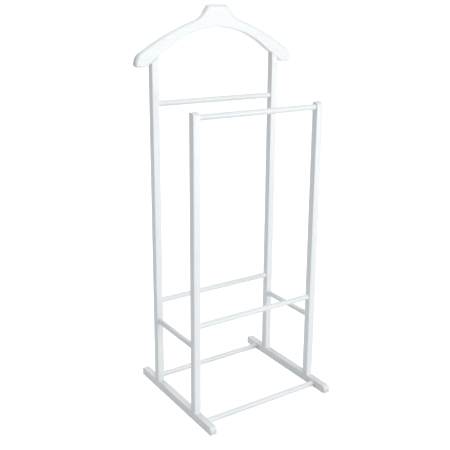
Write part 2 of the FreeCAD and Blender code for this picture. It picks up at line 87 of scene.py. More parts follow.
class Grain(Enum):
    """The axis that a piece's grain runs along."""

    ACROSS = 0
    DEEP = 1
    UP = 2


class Slot(Enum):
    """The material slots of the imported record."""

    LACQUER = "lacquered_wood"
    SCREW = "screw_steel"
    BEECH = "bare_beech"
    FELT = "pad_felt"


# Surfaces


@dataclass(frozen=True)
class Shell:
    """A closed surface.

    Attributes:
        points: The vertices, N by 3.
        faces: The vertex numbers of each face.
        wear: How much of an edge each vertex lies on, from 0 on a flat to 1 on the middle of a rounding.
    """

    points: np.ndarray
    faces: list[list[int]]
    wear: np.ndarray

    def placed(self, at: Vector, direction: tuple[float, float, float]) -> "Shell":
        """The shell with its +Z turned to a direction and its origin moved to a point.

        Args:
            at: Where the shell's origin goes.
            direction: Where its +Z goes.

        Returns:
            The placed shell.
        """
        turn = np.array(Vector((0, 0, 1)).rotation_difference(Vector(direction)).to_matrix())
        return Shell(self.points @ turn.T + np.array(at), self.faces, self.wear)


def joined(shells: list[Shell]) -> Shell:
    """Several shells as one, with their faces renumbered.

    Args:
        shells: The shells, which don't touch each other.

    Returns:
        One shell that holds them all.
    """
    bases = [0, *np.cumsum([len(shell.points) for shell in shells])]
    faces = [[number + base for number in face] for shell, base in zip(shells, bases) for face in shell.faces]
    points = np.concatenate([shell.points for shell in shells])
    return Shell(points, faces, np.concatenate([shell.wear for shell in shells]))


def grid_faces(rows: int, columns: int) -> list[list[int]]:
    """Quads of a grid numbered row by row, whose last column meets its first.

    Args:
        rows: Number of rows of points.
        columns: Number of points in a row.

    Returns:
        The vertex numbers of each quad.
    """
    row, column = np.meshgrid(np.arange(rows - 1), np.arange(columns), indexing="ij")
    here, beside = row * columns + column, row * columns + (column + 1) % columns
    return np.stack([here, beside, beside + columns, here + columns], -1).reshape(-1, 4).tolist()


@dataclass(frozen=True)
class Arc:
    """A round stretch of an outline; straight stretches join one arc's end to the next arc's start.

    Attributes:
        centre: The arc's centre.
        radius: Its radius, negative where the wood lies outside the circle.
        start: Angle of the outward normal where the arc starts.
        end: The same where it ends.
        edge: Radius of the rounding to the faces at the start and at the end.
        steps: Number of chords.
    """

    centre: tuple[float, float]
    radius: float
    start: float
    end: float
    edge: tuple[float, float]
    steps: int

    def sampled(self) -> np.ndarray:
        """Points, outward normals and edge radii: centre + radius * normal(angle), at even angles.

        Returns:
            One row a point: its two coordinates, its normal's two, and its edge radius.
        """
        angle = np.linspace(self.start, self.end, self.steps + 1)
        normal = np.stack([np.cos(angle), np.sin(angle)], -1)
        edge = np.linspace(*self.edge, self.steps + 1)[:, None]
        return np.concatenate([np.array(self.centre) + self.radius * normal, normal, edge], -1)


def board(arcs: list[Arc], half: float, steps: int) -> Shell:
    """A board cut to an outline, with every edge rounded over.

    A point is O(s) - r(s) * (1 - cos a) * N(s) in the board's plane, and half - r(s) * (1 - sin a)
    off its middle, with a from 0 on the wall to a quarter turn on the face. A last ring, a hair inside
    the flat, keeps the flat's shading flat.

    Args:
        arcs: The closed outline, in order.
        half: Half the board's thickness.
        steps: Chords in each rounding.

    Returns:
        The board, its outline in X and Y and its thickness along Z.
    """
    sampled = np.concatenate([arc.sampled() for arc in arcs])
    outline, normal, radius = sampled[:, :2], sampled[:, 2:4], sampled[:, 4]
    angle = np.linspace(0, QUARTER, steps + 1)[:, None]
    inset = np.concatenate([radius * (1 - np.cos(angle)), radius[None] + HAIR])
    lift = np.concatenate([half - radius * (1 - np.sin(angle)), np.full((1, len(radius)), half)])
    worn = np.broadcast_to(np.sin(2 * angle), (steps + 1, len(radius)))
    wear = np.concatenate([worn, np.zeros((1, len(radius)))])
    flat = outline - inset[..., None] * normal
    upper = np.concatenate([flat, lift[..., None]], -1)
    lower = np.concatenate([flat, -lift[..., None]], -1)[::-1]
    points = np.concatenate([lower, upper])
    rows, columns = points.shape[:2]
    last = (rows - 1) * columns
    faces = grid_faces(rows, columns) + [list(range(columns))[::-1], list(range(last, last + columns))]
    return Shell(points.reshape(-1, 3), faces, np.concatenate([wear[::-1], wear]).ravel())


def rounded_box(
    low: tuple[float, float], high: tuple[float, float], radii: list[float], edge: float
) -> list[Arc]:
    """The outline of a rectangle with rounded corners.

    Args:
        low: Its lowest corner.
        high: Its highest corner.
        radii: Corner radii, from the low-low corner towards the high-low one and round.
        edge: Radius of the rounding to the faces.

    Returns:
        Four arcs.
    """
    places = [(low[0], low[1]), (high[0], low[1]), (high[0], high[1]), (low[0], high[1])]
    inward = [(1, 1), (-1, 1), (-1, -1), (1, -1)]
    return [
        Arc(
            centre=(place[0] + way[0] * radius, place[1] + way[1] * radius),
            radius=radius,
            start=(number - 2) * QUARTER,
            end=(number - 1) * QUARTER,
            edge=(edge, edge),
            steps=8,
        )
        for number, (place, way, radius) in enumerate(zip(places, inward, radii))
    ]


def wound(radius: np.ndarray, height: np.ndarray, columns: int) -> Shell:
    """A closed surface wound round Z: each point is (r cos t, r sin t, h), t once round.

    Args:
        radius: The radius of each row, or of each point of each row. It is 0 at both ends.
        height: The height, given the same way.
        columns: Points in a row.

    Returns:
        The shell, with a pole at each end.
    """
    turn = np.linspace(0, 2 * math.pi, columns, endpoint=False)
    size = (len(radius), columns)
    radius, height = (np.broadcast_to(part.reshape(len(part), -1), size) for part in (radius, height))
    points = np.stack([radius * np.cos(turn), radius * np.sin(turn), height], -1)
    return Shell(points.reshape(-1, 3), grid_faces(*size), np.zeros(size).ravel())


def turned(profile: list[tuple[float, float]], columns: int = 48) -> Shell:
    """A turned solid from its profile.

    Args:
        profile: Radius and height of each corner, from one pole to the other.
        columns: Points in a row.

    Returns:
        The shell.
    """
    corners = np.array([(0, profile[0][1]), *profile, (0, profile[-1][1])])
    return wound(corners[:, 0], corners[:, 1], columns)


def block(low: tuple[float, float, float], high: tuple[float, float, float], drop: float = 0.0) -> Shell:
    """A box, whose upper and lower faces may slope together.

    Args:
        low: Its lowest corner.
        high: Its highest corner.
        drop: How much its lower face falls from low X to high X.

    Returns:
        The shell.
    """
    share = np.array([[x, y, z] for z in (0, 1) for x, y in ((0, 0), (1, 0), (1, 1), (0, 1))], float)
    points = np.array(low) + share * (np.array(high) - np.array(low))
    points[:, 2] -= drop * share[:, 0] * (1 - share[:, 2])
    faces = grid_faces(2, 4) + [[3, 2, 1, 0], [4, 5, 6, 7]]
    return Shell(points, faces, np.zeros(len(points)))


def mesh_of(name: str, shell: Shell) -> bpy.types.Mesh:
    """A mesh from a shell: poles and seams merged, faces outwards.

    Args:
        name: The mesh's name.
        shell: Its surface.

    Returns:
        The mesh.
    """
    mesh = bpy.data.meshes.new(name)
    mesh.from_pydata(shell.points.tolist(), [], shell.faces)
    mesh.attributes.new("wear", "FLOAT", "POINT").data.foreach_set("value", shell.wear.astype(np.float32))
    work = bmesh.new()
    work.from_mesh(mesh)
    bmesh.ops.remove_doubles(work, verts=work.verts, dist=WELD)
    bmesh.ops.recalc_face_normals(work, faces=work.faces)
    work.to_mesh(mesh)
    work.free()
    return mesh


def carved(piece: bpy.types.Object, cuts: list[Shell]) -> None:
    """Cut shapes out of a piece's mesh.

    Args:
        piece: The piece.
        cuts: Closed shapes that don't touch each other.
    """
    cutter = bpy.data.objects.new("cutter", mesh_of("cutter", joined(cuts)))
    bpy.context.scene.collection.objects.link(cutter)
    modifier = piece.modifiers.new("cut", "BOOLEAN")
    modifier.operation = "DIFFERENCE"
    modifier.solver = "EXACT"
    modifier.object = cutter
    result = bpy.data.meshes.new_from_object(piece.evaluated_get(bpy.context.evaluated_depsgraph_get()))
    piece.modifiers.remove(modifier)
    plain, piece.data = piece.data, result
    bpy.data.meshes.remove(plain)
    bpy.data.objects.remove(cutter)


def finished(
    node: str, shell: Shell, material: bpy.types.Material, passes: tuple[list[Shell], ...] = ()
) -> None:
    """Make the piece that stands for a CAD node.

    Args:
        node: The node's name.
        shell: The piece's surface.
        material: Its material.
        passes: Shapes to cut out of it, those of one pass apart from each other.
    """
    piece = bpy.data.objects.new(f"finished_{node}", mesh_of(node, shell))
    bpy.context.scene.collection.objects.link(piece)
    for cuts in passes:
        carved(piece, cuts)
    mesh = piece.data
    mesh.name = piece.name
    mesh.polygons.foreach_set("use_smooth", np.ones(len(mesh.polygons), bool))
    mesh.set_sharp_from_angle(angle=SHARP)
    mesh.materials.clear()
    mesh.materials.append(material)
    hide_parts(node)
    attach(piece, "root")
    low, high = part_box(node)
    reach = np.empty(len(mesh.vertices) * 3, np.float32)
    mesh.vertices.foreach_get("co", reach)
    reach = reach.reshape(-1, 3)
    outside = max(*(np.array(low) - reach.min(0)), *(reach.max(0) - np.array(high)))
    LOG.info("%-28s %6d faces, %.2f mm past its node", piece.name, len(mesh.polygons), outside / MM)


# Finishes


def linear(colour: str) -> tuple[float, float, float, float]:
    """A hex sRGB colour as linear light.

    Args:
        colour: Six hex digits after a #.

    Returns:
        Red, green, blue and an alpha of 1.
    """
    parts = [int(colour[place : place + 2], 16) / 255 for place in (1, 3, 5)]
    return (*(part / 12.92 if part <= 0.04045 else ((part + 0.055) / 1.055) ** 2.4 for part in parts), 1.0)


def add_node(
    tree: bpy.types.NodeTree, kind: str, inputs: dict[str | int, Any], **settings: Any
) -> bpy.types.Node:
    """Add a node, set its properties, and set or link its inputs.

    Args:
        tree: The node tree.
        kind: The node's type, without its ShaderNode prefix.
        inputs: A value, or a socket to link, for each input by name or number.
        settings: The node's own properties.

    Returns:
        The node.
    """
    node = tree.nodes.new(f"ShaderNode{kind}")
    for name, value in settings.items():
        setattr(node, name, value)
    for name, value in inputs.items():
        if isinstance(value, bpy.types.NodeSocket):
            tree.links.new(value, node.inputs[name])
        else:
            node.inputs[name].default_value = value
    return node


def along(grain: Grain, length: float, width: float) -> tuple[float, float, float]:
    """Spacing along X, Y and Z of a pattern that is drawn out along the grain.

    Args:
        grain: The grain's axis.
        length: Spacing along it.
        width: Spacing across it.

    Returns:
        The three spacings.
    """
    return tuple(length if axis == grain.value else width for axis in range(3))


def mottle(
    tree: bpy.types.NodeTree,
    spacing: tuple[float, float, float],
    detail: float,
    rough: float = 0.5,
    twist: float = 0.0,
) -> bpy.types.NodeSocket:
    """A cloudy pattern over a piece, at a real spacing.

    Args:
        tree: The node tree.
        spacing: The pattern's spacing along X, Y and Z.
        detail: Octaves of finer pattern in it.
        rough: How strong they are.
        twist: How far the pattern is pushed about.

    Returns:
        The pattern, mostly 0.3 to 0.7.
    """
    place = add_node(tree, "TexCoord", {}).outputs["Object"]
    scale = tuple(1 / part for part in spacing)
    scaled = add_node(tree, "Mapping", {"Vector": place, "Scale": scale}).outputs[0]
    inputs = {"Vector": scaled, "Scale": 1.0, "Detail": detail, "Roughness": rough, "Distortion": twist}
    return add_node(tree, "TexNoise", inputs).outputs["Fac"]


def surfaced(tree: bpy.types.NodeTree, inputs: dict[str | int, Any]) -> None:
    """Give a material its surface and end its tree."""
    shader = add_node(tree, "BsdfPrincipled", inputs)
    add_node(tree, "OutputMaterial", {"Surface": shader.outputs[0]})


def new_material(name: str) -> tuple[bpy.types.Material, bpy.types.NodeTree]:
    """A material with an empty node tree."""
    material = bpy.data.materials.new(name)
    material.use_nodes = True
    material.node_tree.nodes.clear()
    return material, material.node_tree


@dataclass(frozen=True)
class SatinLacquer:
    """White pigmented polyurethane lacquer, sprayed on sanded beech and cut back between coats.

    It gives a soft broad sheen, a faint waviness from the sanding block, pores that still show as fine
    lines along the grain, and a duller, greyer end grain where the wood drank the first coat. On the
    rounded edges the coat is thinner and a touch greyer.
    """

    coat: str = "#eef1f2"
    shade: str = "#e9eeef"
    edge: str = "#ebeceb"
    end: str = "#dfe3e4"
    roughness: float = 0.38
    # The pores are 0.2 by 3 mm in beech. They are drawn coarser, so that they show at all.
    pore_wide: float = 1.1 * MM
    pore_long: float = 22.0 * MM
    pore_deep: float = 0.016 * MM
    streak_wide: float = 7.0 * MM
    streak_long: float = 240.0 * MM
    wave: float = 26.0 * MM
    wave_deep: float = 0.05 * MM
    peel: float = 2.4 * MM  # orange peel is about 1 mm across, and is drawn coarser to show
    peel_deep: float = 0.006 * MM

    def material(self, grain: Grain) -> bpy.types.Material:
        """The lacquer over wood whose grain runs along an axis.

        Args:
            grain: The grain's axis.

        Returns:
            The material.
        """
        material, tree = new_material(f"satin_lacquer_grain_{grain.name.lower()}")
        streak = mottle(tree, along(grain, self.streak_long, self.streak_wide), 3.0, 0.6)
        pore = mottle(tree, along(grain, self.pore_long, self.pore_wide), 2.0)
        wave = mottle(tree, (self.wave,) * 3, 1.0)
        peel = mottle(tree, (self.peel,) * 3, 1.0)
        inputs = {"Value": streak, "From Min": 0.35, "From Max": 0.7}
        cloudy = add_node(tree, "MapRange", inputs, interpolation_type="SMOOTHSTEP")
        body = add_node(
            tree,
            "Mix",
            {0: cloudy.outputs[0], 6: linear(self.coat), 7: linear(self.shade)},
            data_type="RGBA",
        )
        worn = add_node(tree, "Attribute", {}, attribute_name="wear").outputs["Fac"]
        inputs = {"Value": wave, "From Min": 0.35, "From Max": 0.65, "To Max": 0.8}
        patchy = add_node(tree, "MapRange", inputs)
        thin = add_node(tree, "Math", {0: worn, 1: patchy.outputs[0]}, operation="MULTIPLY")
        edged = add_node(
            tree, "Mix", {0: thin.outputs[0], 6: body.outputs[2], 7: linear(self.edge)}, data_type="RGBA"
        )
        normal = add_node(tree, "NewGeometry", {}).outputs["Normal"]
        facing = add_node(tree, "SeparateXYZ", {0: normal}).outputs[grain.value]
        facing = add_node(tree, "Math", {0: facing}, operation="ABSOLUTE").outputs[0]
        end = add_node(tree, "MapRange", {"Value": facing, "From Min": 0.8, "From Max": 1.0}).outputs[0]
        colour = add_node(
            tree, "Mix", {0: end, 6: edged.outputs[2], 7: linear(self.end)}, data_type="RGBA"
        )
        dull = add_node(
            tree,
            "MapRange",
            {"Value": streak, "To Min": self.roughness - 0.06, "To Max": self.roughness + 0.08},
        )
        duller = add_node(tree, "Math", {0: end, 1: 0.12, 2: dull.outputs[0]}, operation="MULTIPLY_ADD")
        bump = None
        for height, deep in ((wave, self.wave_deep), (pore, self.pore_deep), (peel, self.peel_deep)):
            inputs = {"Height": height, "Strength": 1.0, "Distance": deep}
            if bump:
                inputs["Normal"] = bump.outputs[0]
            bump = add_node(tree, "Bump", inputs)
        surfaced(
            tree,
            {
                "Base Color": colour.outputs[2],
                "Roughness": duller.outputs[0],
                "IOR": 1.5,
                "Coat Weight": 0.25,
                "Coat Roughness": 0.3,
                "Normal": bump.outputs[0],
            },
        )
        return material


@dataclass(frozen=True)
class ZincSteel:
    """Cold-headed wood-screw steel, barrel-plated with zinc and blue-passivated.

    It gives a bright metal with faint tumbling marks and a slight patchy tint.
    """

    metal: str = "#c9ccd0"
    tint: str = "#b8bfc9"
    roughness: float = 0.34
    mark: float = 0.8 * MM
    mark_deep: float = 0.02 * MM

    def material(self) -> bpy.types.Material:
        """The plated steel.

        Returns:
            The material.
        """
        material, tree = new_material("zinc_plated_steel")
        marks = mottle(tree, (self.mark,) * 3, 4.0)
        colour = add_node(
            tree, "Mix", {0: marks, 6: linear(self.metal), 7: linear(self.tint)}, data_type="RGBA"
        )
        inputs = {"Value": marks, "To Min": self.roughness - 0.1, "To Max": self.roughness + 0.12}
        rough = add_node(tree, "MapRange", inputs)
        bump = add_node(tree, "Bump", {"Height": marks, "Distance": self.mark_deep})
        surfaced(
            tree,
            {
                "Base Color": colour.outputs[2],
                "Metallic": 1.0,
                "Roughness": rough.outputs[0],
                "Normal": bump.outputs[0],
            },
        )
        return material


@dataclass(frozen=True)
class BareBeech:
    """Steamed beech dowel rod, fluted and left bare.

    It gives a pale pinkish brown with short darker flecks along the rod and a dry, dull surface.
    """

    wood: str = "#cda57c"
    fleck: str = "#a87a4f"
    fleck_wide: float = 0.5 * MM
    fleck_long: float = 4.0 * MM
    fleck_deep: float = 0.04 * MM

    def material(self) -> bpy.types.Material:
        """The bare wood, its grain upright.

        Returns:
            The material.
        """
        material, tree = new_material("bare_steamed_beech")
        flecks = mottle(tree, along(Grain.UP, self.fleck_long, self.fleck_wide), 3.0)
        mask = add_node(tree, "MapRange", {"Value": flecks, "From Min": 0.45, "From Max": 0.7})
        colour = add_node(
            tree, "Mix", {0: mask.outputs[0], 6: linear(self.wood), 7: linear(self.fleck)}, data_type="RGBA"
        )
        bump = add_node(tree, "Bump", {"Height": flecks, "Distance": self.fleck_deep})
        surfaced(tree, {"Base Color": colour.outputs[2], "Roughness": 0.72, "Normal": bump.outputs[0]})
        return material


@dataclass(frozen=True)
class PressedFelt:
    """Needled wool felt, punched into discs.

    It gives a matt, slightly mottled off-white with a fuzz of fibres at its rim.
    """

    wool: str = "#d9d6ce"
    shadow: str = "#b9b5ab"
    fibre: float = 0.45 * MM
    fibre_deep: float = 0.15 * MM

    def material(self) -> bpy.types.Material:
        """The felt.

        Returns:
            The material.
        """
        material, tree = new_material("pressed_wool_felt")
        fibres = mottle(tree, (self.fibre,) * 3, 5.0, twist=1.5)
        colour = add_node(
            tree, "Mix", {0: fibres, 6: linear(self.shadow), 7: linear(self.wool)}, data_type="RGBA"
        )
        bump = add_node(tree, "Bump", {"Height": fibres, "Distance": self.fibre_deep})
        surfaced(
            tree,
            {
                "Base Color": colour.outputs[2],
                "Roughness": 0.95,
                "Sheen Weight": 0.4,
                "Normal": bump.outputs[0],
            },
        )
        return material


# Pieces


@dataclass(frozen=True)
class Joinery:
    """Sizes of the hidden joints, the same all over the stand."""

    tenon_wide: float = 10.0 * MM
    tenon_lead: float = 1.0 * MM
    glue_gap: float = 0.1 * MM
    spare: float = 1.0 * MM
    over: float = 6.0 * MM  # how far a cut runs on past the wood
    dowel_wide: float = 6.0 * MM
    screw_wide: float = 4.0 * MM
    screw_hole: float = 4.4 * MM
    screw_head: float = 8.0 * MM
    head_deep: float = 2.6 * MM
    sink_wide: float = 9.0 * MM
    fix_offset: float = 4.5 * MM
    tongue_thick: float = 10.0 * MM
    lap_gap: float = 0.1 * MM

    def socket(self, mouth: Vector, direction: tuple[float, float, float], deep: float) -> Shell:
        """The cut for a rung's tenon.

        Args:
            mouth: Middle of the socket's mouth.
            direction: The way in.
            deep: The tenon's length.

        Returns:
            The shape to cut out.
        """
        wide = self.tenon_wide / 2 + self.glue_gap
        return turned([(wide, -self.over), (wide, deep + self.spare)]).placed(mouth, direction)


JOINERY = Joinery()


def middle_of(node: str) -> Vector:
    """The middle of a CAD node's box."""
    low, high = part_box(node)
    return (low + high) / 2


@dataclass(frozen=True)
class Rung:
    """A turned bar with a tenon at each end.

    Attributes:
        node: The CAD node that it stands for.
        axis: The axis that it lies along, 0 for X or 1 for Y.
        shoulder: Rounding where the bar meets a post or a runner.
    """

    node: str
    axis: int
    shoulder: float = 0.5 * MM

    def middle(self) -> Vector:
        """The middle of the bar."""
        return middle_of(self.node)

    def shell(self, between: float) -> Shell:
        """The bar, its shoulders at the faces that it stands between.

        Args:
            between: Distance between those faces.

        Returns:
            The shell, in place.
        """
        low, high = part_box(self.node)
        wide = (high.z - low.z) / 2
        tip, face = (high[self.axis] - low[self.axis]) / 2, between / 2
        core, lead, soft = JOINERY.tenon_wide / 2, JOINERY.tenon_lead, self.shoulder
        angle = np.linspace(0, QUARTER, 5)
        turn = zip(np.cos(angle), np.sin(angle))
        rounding = [(wide - soft * (1 - part), face - soft * (1 - rise)) for part, rise in turn]
        end = [*rounding, (core, face), (core, tip - lead), (core - lead, tip)]
        profile = [(radius, -height) for radius, height in reversed(end)] + end
        direction = (1, 0, 0) if self.axis == 0 else (0, 1, 0)
        return turned(profile, 56).placed(self.middle(), direction)

    def build(self, between: float, material: bpy.types.Material) -> None:
        """Make the rung."""
        finished(self.node, self.shell(between), material)

    def tenon(self, between: float) -> float:
        """The tenon's length beyond each shoulder."""
        low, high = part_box(self.node)
        return (high[self.axis] - low[self.axis] - between) / 2


@dataclass(frozen=True)
class Runner:
    """A base runner: a moulded rail with a rounded toe.

    Attributes:
        side: The side it is on.
        toe: Rounding of its front top edge.
        heel: Rounding of its rear top edge.
        foot: Rounding of its lower corners.
        ease: Rounding of its long edges.
    """

    side: Side
    toe: float = 11.0 * MM
    heel: float = 3.2 * MM
    foot: float = 2.3 * MM
    ease: float = 2.0 * MM

    @property
    def node(self) -> str:
        """The CAD node."""
        return f"{self.side.word}_runner"

    def shell(self) -> Shell:
        """The rail, in place."""
        low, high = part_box(self.node)
        radii = [self.foot, self.foot, self.heel, self.toe]
        outline = rounded_box((low.y, low.z), (high.y, high.z), radii, self.ease)
        flat = board(outline, (high.x - low.x) / 2, 6)
        points = flat.points[:, [2, 0, 1]] + np.array(((low.x + high.x) / 2, 0, 0))
        return Shell(points, flat.faces, flat.wear)

    def cuts(self) -> list[Shell]:
        """Sockets for the bottom rungs, and holes for the screws and dowels that hold the posts."""
        low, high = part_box(self.node)
        inner = low.x if self.side is Side.RIGHT else high.x
        middle, shapes = (low.x + high.x) / 2, []
        head_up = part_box("runner_screws")[0].z
        dowel_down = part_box("runner_dowels")[0].z
        for end in End:
            rung = Rung(f"{end.word}_bottom_rung", 0)
            at = rung.middle()
            deep = rung.tenon(2 * abs(inner))
            shapes.append(JOINERY.socket(Vector((inner, at.y, at.z)), (self.side.value, 0, 0), deep))
            post = post_middle(self.side, end)
            top, offset = high.z + JOINERY.over, end.value * JOINERY.fix_offset
            seat, sink, hole = head_up + JOINERY.head_deep, JOINERY.sink_wide / 2, JOINERY.screw_hole / 2
            wide = JOINERY.dowel_wide / 2 + JOINERY.glue_gap
            screw_hole = [(sink, low.z - JOINERY.over), (sink, seat), (hole, seat), (hole, top)]
            dowel_hole = [(wide, dowel_down - JOINERY.spare), (wide, top)]
            for profile, away in ((screw_hole, offset), (dowel_hole, -offset)):
                shapes.append(turned(profile).placed(Vector((middle, post.y + away, 0)), (0, 0, 1)))
        return shapes

    def build(self, material: bpy.types.Material) -> None:
        """Make the runner."""
        finished(self.node, self.shell(), material, (self.cuts(),))


def post_middle(side: Side, end: End) -> Vector:
    """The middle of a post's CAD node."""
    return middle_of(f"{end.word}_{side.word}_post")


@dataclass(frozen=True)
class Post:
    """A square post with eased edges: a rounded top in front, a lapped tongue at the rear.

    Attributes:
        side: The side it is on.
        end: The end it is at.
        ease: Rounding of its long edges.
        nose: Rounding of a front post's front top edge.
        back: Rounding of its rear top edge.
    """

    side: Side
    end: End
    ease: float = 2.0 * MM
    nose: float = 10.0 * MM
    back: float = 2.6 * MM

    @property
    def node(self) -> str:
        """The CAD node."""
        return f"{self.end.word}_{self.side.word}_post"

    def shell(self) -> Shell:
        """The post, in place, longer than it will be where a cut squares it off."""
        low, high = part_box(self.node)
        spare = JOINERY.over
        if self.end is End.FRONT:
            top, radii = high.z, [self.back, self.back, self.back, self.nose]
        else:
            top, radii = high.z + spare, [self.back] * 4
        outline = rounded_box((low.y, low.z - spare), (high.y, top), radii, self.ease)
        flat = board(outline, (high.x - low.x) / 2, 6)
        points = flat.points[:, [2, 0, 1]] + np.array(((low.x + high.x) / 2, 0, 0))
        return Shell(points, flat.faces, flat.wear)

    def passes(self, hanger: "ShoulderHanger") -> tuple[list[Shell], ...]:
        """Squared ends, then at the rear the lap, then sockets and holes for the fixings.

        Args:
            hanger: The hanger that a rear post is lapped into.

        Returns:
            The shapes of each pass.
        """
        low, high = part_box(self.node)
        middle, over, turn = (low + high) / 2, JOINERY.over, self.end.value
        wide = (low.x - over, high.x + over)
        inner = low.x if self.side is Side.RIGHT else high.x
        across = 2 * abs(inner)
        holes = []
        upper = "upper_rear_rung" if self.end is End.REAR else "trouser_bar"
        for node in (upper, f"{self.end.word}_middle_rung"):
            rung = Rung(node, 0)
            mouth = Vector((inner, middle.y, rung.middle().z))
            holes.append(JOINERY.socket(mouth, (self.side.value, 0, 0), rung.tenon(across)))
        rung = Rung(f"{self.side.word}_side_rung", 1)
        face = low.y if self.end is End.REAR else high.y
        mouth = Vector((middle.x, face, rung.middle().z))
        holes.append(JOINERY.socket(mouth, (0, turn, 0), rung.tenon(2 * abs(face))))
        screw_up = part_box("runner_screws")[1].z + JOINERY.spare
        dowel_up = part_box("runner_dowels")[1].z + JOINERY.spare
        ends = [block((wide[0], low.y - over, low.z - 2 * over), (wide[1], high.y + over, low.z))]
        for offset, size, top in (
            (turn, JOINERY.screw_wide / 2 + JOINERY.glue_gap / 2, screw_up),
            (-turn, JOINERY.dowel_wide / 2 + JOINERY.glue_gap, dowel_up),
        ):
            at = Vector((middle.x, middle.y + offset * JOINERY.fix_offset, 0))
            holes.append(turned([(size, low.z - over), (size, top)]).placed(at, (0, 0, 1)))
        if self.end is End.FRONT:
            return ends, holes
        ends.append(block((wide[0], low.y - over, high.z), (wide[1], high.y + over, high.z + 2 * over)))
        lap, *screw_holes = hanger.tongue_cuts(self.side)
        return ends, [lap], [*holes, *screw_holes]

    def build(self, hanger: "ShoulderHanger", material: bpy.types.Material) -> None:
        """Make the post."""
        finished(self.node, self.shell(), material, self.passes(hanger))


@dataclass(frozen=True)
class ShoulderHanger:
    """The shoulder hanger: a board sawn to shape, its outside rounded over, its arch only eased.

    Attributes:
        waist: Neck top down to the crown of the arch.
        neck_flat: Half the flat on top of the neck.
        neck_corner: Rounding of the neck's top corners.
        flank: Slope of the neck's flanks.
        hollow: Radius where a flank sweeps out into a shoulder.
        shoulder_drop: Neck top down to the start of a straight shoulder.
        slope: Slope of a straight shoulder.
        shoulder_flat: Its length.
        brow: Radius of the long curve from there to the tip.
        tip: Radius of the tips.
        tip_corner: Radius of their lower corners.
        arch: Radius of the arch.
        arch_end: Slope of its straight ends.
        heel: Rounding where a straight end meets the foot of a tip.
        outer_edge: Rounding round the outside.
        tip_edge: Rounding at the lower corner of a tip.
        foot_edge: Rounding along its foot.
        arch_edge: Rounding along the arch.
    """

    waist: float = 58.0 * MM
    neck_flat: float = 25.4 * MM
    neck_corner: float = 9.0 * MM
    flank: float = math.radians(54.4)
    hollow: float = 64.0 * MM
    shoulder_drop: float = 39.0 * MM
    slope: float = math.radians(20)
    shoulder_flat: float = 20.0 * MM
    brow: float = 640.0 * MM
    tip: float = 38.0 * MM
    tip_corner: float = 7.0 * MM
    arch: float = 244.0 * MM
    arch_end: float = math.radians(35)
    heel: float = 4.0 * MM
    outer_edge: float = 7.0 * MM
    tip_edge: float = 6.4 * MM
    foot_edge: float = 4.5 * MM
    arch_edge: float = 2.0 * MM

    node = "shoulder_hanger"

    def right_half(self) -> list[Arc]:
        """The arcs of the right half, from the neck round the tip to the crown of the arch."""
        low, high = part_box(self.node)
        top, half = high.z, (high.x - low.x) / 2
        flank, slope = QUARTER - self.flank, QUARTER - self.slope

        def step(point: tuple[float, float], distance: float, angle: float) -> tuple[float, float]:
            """The point a distance away at an angle."""
            return (point[0] + distance * math.cos(angle), point[1] + distance * math.sin(angle))

        corner = (self.neck_flat, top - self.neck_corner)
        fall = self.neck_corner * (1 - math.sin(flank))
        rise = self.hollow * (math.sin(slope) - math.sin(flank))
        run = (self.shoulder_drop - fall - rise) / math.sin(self.flank)
        flank_end = step(step(corner, self.neck_corner, flank), run, -self.flank)
        hollow = step(flank_end, self.hollow, flank)
        shoulder = step(hollow, -self.hollow, slope)
        brow = step(step(shoulder, self.shoulder_flat, -self.slope), -self.brow, slope)
        tip_x = half - self.tip
        tip = (tip_x, brow[1] + math.sqrt((self.brow - self.tip) ** 2 - (tip_x - brow[0]) ** 2))
        bend = math.atan2(tip[1] - brow[1], tip[0] - brow[0])
        tip_corner = (half - self.tip_corner, tip[1])
        foot = tip[1] - self.tip_corner
        crown = top - self.waist
        under = -QUARTER - self.arch_end
        heel_x = (crown - self.arch + self.arch / math.cos(self.arch_end) - foot) / math.tan(self.arch_end)
        heel = (heel_x + self.heel * math.tan(self.arch_end / 2), foot + self.heel)
        outer = (self.outer_edge, self.outer_edge)
        arch_edge = (self.arch_edge, self.arch_edge)
        return [
            Arc(corner, self.neck_corner, QUARTER, flank, outer, 10),
            Arc(hollow, -self.hollow, flank, slope, outer, 14),
            Arc(brow, self.brow, slope, bend, outer, 16),
            Arc(tip, self.tip, bend, 0.0, (self.outer_edge, self.tip_edge), 24),
            Arc(tip_corner, self.tip_corner, 0.0, -QUARTER, (self.tip_edge, self.foot_edge), 14),
            Arc(heel, self.heel, -QUARTER, under, (self.foot_edge * 0.5, self.arch_edge), 5),
            Arc((0.0, crown - self.arch), -self.arch, under, -QUARTER, arch_edge, 26),
        ]

    def shell(self) -> Shell:
        """The board, in place: the right half's arcs, then their mirror images in reverse."""
        low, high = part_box(self.node)
        right = self.right_half()
        left = [
            Arc(
                centre=(-arc.centre[0], arc.centre[1]),
                radius=arc.radius,
                start=math.pi - arc.end,
                end=math.pi - arc.start,
                edge=arc.edge[::-1],
                steps=arc.steps,
            )
            for arc in reversed(right)
        ]
        flat = board([*right, *left], (high.y - low.y) / 2, 10)
        points = flat.points[:, [0, 2, 1]] + np.array((0, (low.y + high.y) / 2, 0))
        return Shell(points, flat.faces, flat.wear)

    def underside(self, across: float) -> float:
        """Height of the straight end of the arch at a distance from the middle."""
        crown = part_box(self.node)[1].z - self.waist
        return crown - self.arch + self.arch / math.cos(self.arch_end) - across * math.tan(self.arch_end)

    def screw_heights(self, side: Side) -> list[float]:
        """Heights of a post's two screws, a quarter and three quarters of the way up its tongue."""
        low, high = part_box(f"rear_{side.word}_post")
        foot = self.underside(abs(low.x + high.x) / 2)
        return [foot + share * (high.z - foot) for share in (0.25, 0.75)]

    def lap_plane(self) -> float:
        """Where a post's tongue meets the floor of its housing, along Y."""
        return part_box("rear_left_post")[1].y - JOINERY.tongue_thick

